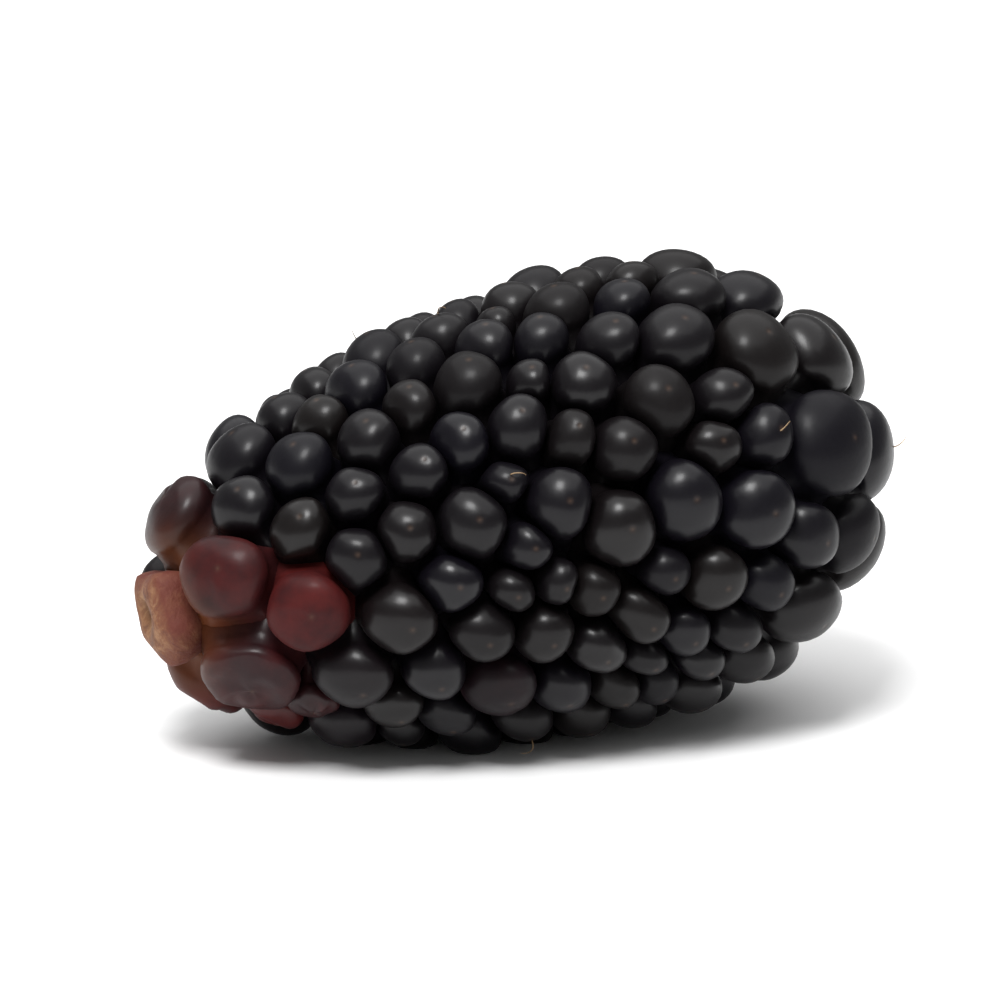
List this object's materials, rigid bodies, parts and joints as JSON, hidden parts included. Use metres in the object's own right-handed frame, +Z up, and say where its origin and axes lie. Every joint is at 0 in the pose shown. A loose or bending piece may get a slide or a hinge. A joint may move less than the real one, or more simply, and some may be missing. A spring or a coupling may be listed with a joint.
{
  "type": "bramble berry",
  "caption": "Ripe picked bramble berry lying on its side: an oval cluster of glossy near-black drupelets with a pale picked end at the stem.",
  "frame": {"origin": "under the middle of the berry's box, on the surface it lies on", "axes": "+X runs from the stem end to the tip, +Z is up"},
  "size_m": [0.0416, 0.026, 0.0247],
  "materials": {
    "drupelet_skin": "satin, thin taut skin, near-black with red-brown drupelets at the stem end",
    "receptacle_flesh": "matt, fibrous, tan"
  },
  "bodies": {
    "root": {"berry": "drupelet_skin"}
  },
  "joints": []
}
